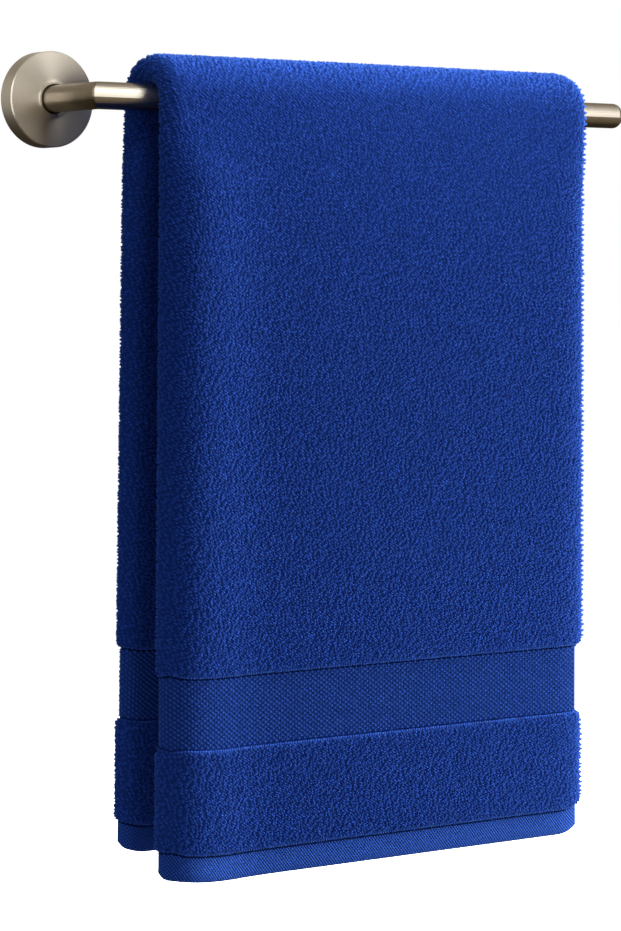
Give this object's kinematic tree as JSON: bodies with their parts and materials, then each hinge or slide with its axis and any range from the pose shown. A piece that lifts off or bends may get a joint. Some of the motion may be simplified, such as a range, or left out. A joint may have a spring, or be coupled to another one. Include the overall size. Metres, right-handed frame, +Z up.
{
  "type": "hand towel on wall towel bar",
  "caption": "Royal blue terry hand towel with woven borders, folded in half lengthwise and hung over an open-ended brushed nickel towel bar with a round wall flange.",
  "frame": {"origin": "centre of the flange's flat back, where it meets the wall, level with the bar's axis", "axes": "+X along the bar to its free end, +Y into the wall, +Z up"},
  "size_m": [0.3395, 0.0751, 0.3889],
  "materials": {
    "terry": "matte looped pile",
    "nickel": "satin brushed"
  },
  "bodies": {
    "root": {"towel": "terry", "wall_flange": "nickel", "post": "nickel", "bar": "nickel"}
  },
  "joints": []
}
